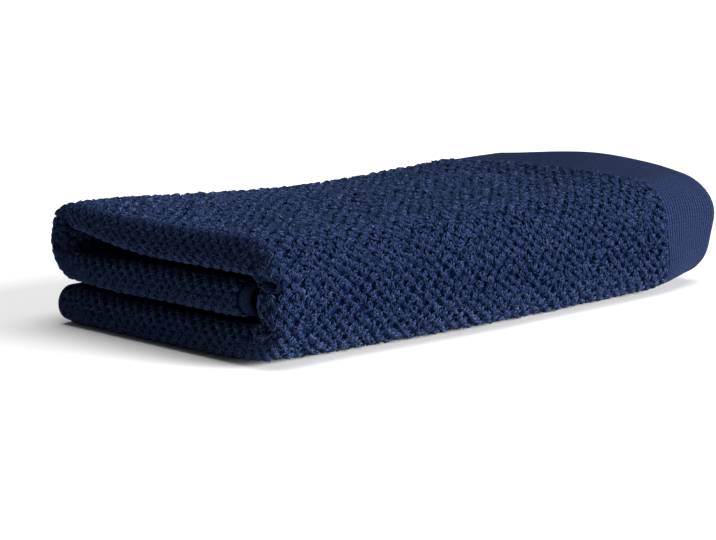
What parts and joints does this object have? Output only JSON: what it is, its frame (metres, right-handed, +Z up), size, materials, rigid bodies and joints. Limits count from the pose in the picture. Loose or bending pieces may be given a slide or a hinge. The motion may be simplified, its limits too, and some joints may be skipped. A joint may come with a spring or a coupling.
{
  "type": "folded bath towel",
  "caption": "Thick navy cotton bath towel folded in thirds both ways, with a nubbly terry face and a smooth woven band at its end.",
  "frame": {"origin": "on the surface the towel lies on, under the middle of its bounding box", "axes": "+X along the folded towel from its rounded noses to its woven band, +Y across it from the broad spine to the narrow fold, +Z up"},
  "size_m": [0.4714, 0.2538, 0.0893],
  "materials": {
    "navy_terry": "matte"
  },
  "bodies": {
    "root": {"folded_towel": "navy_terry"}
  },
  "joints": []
}
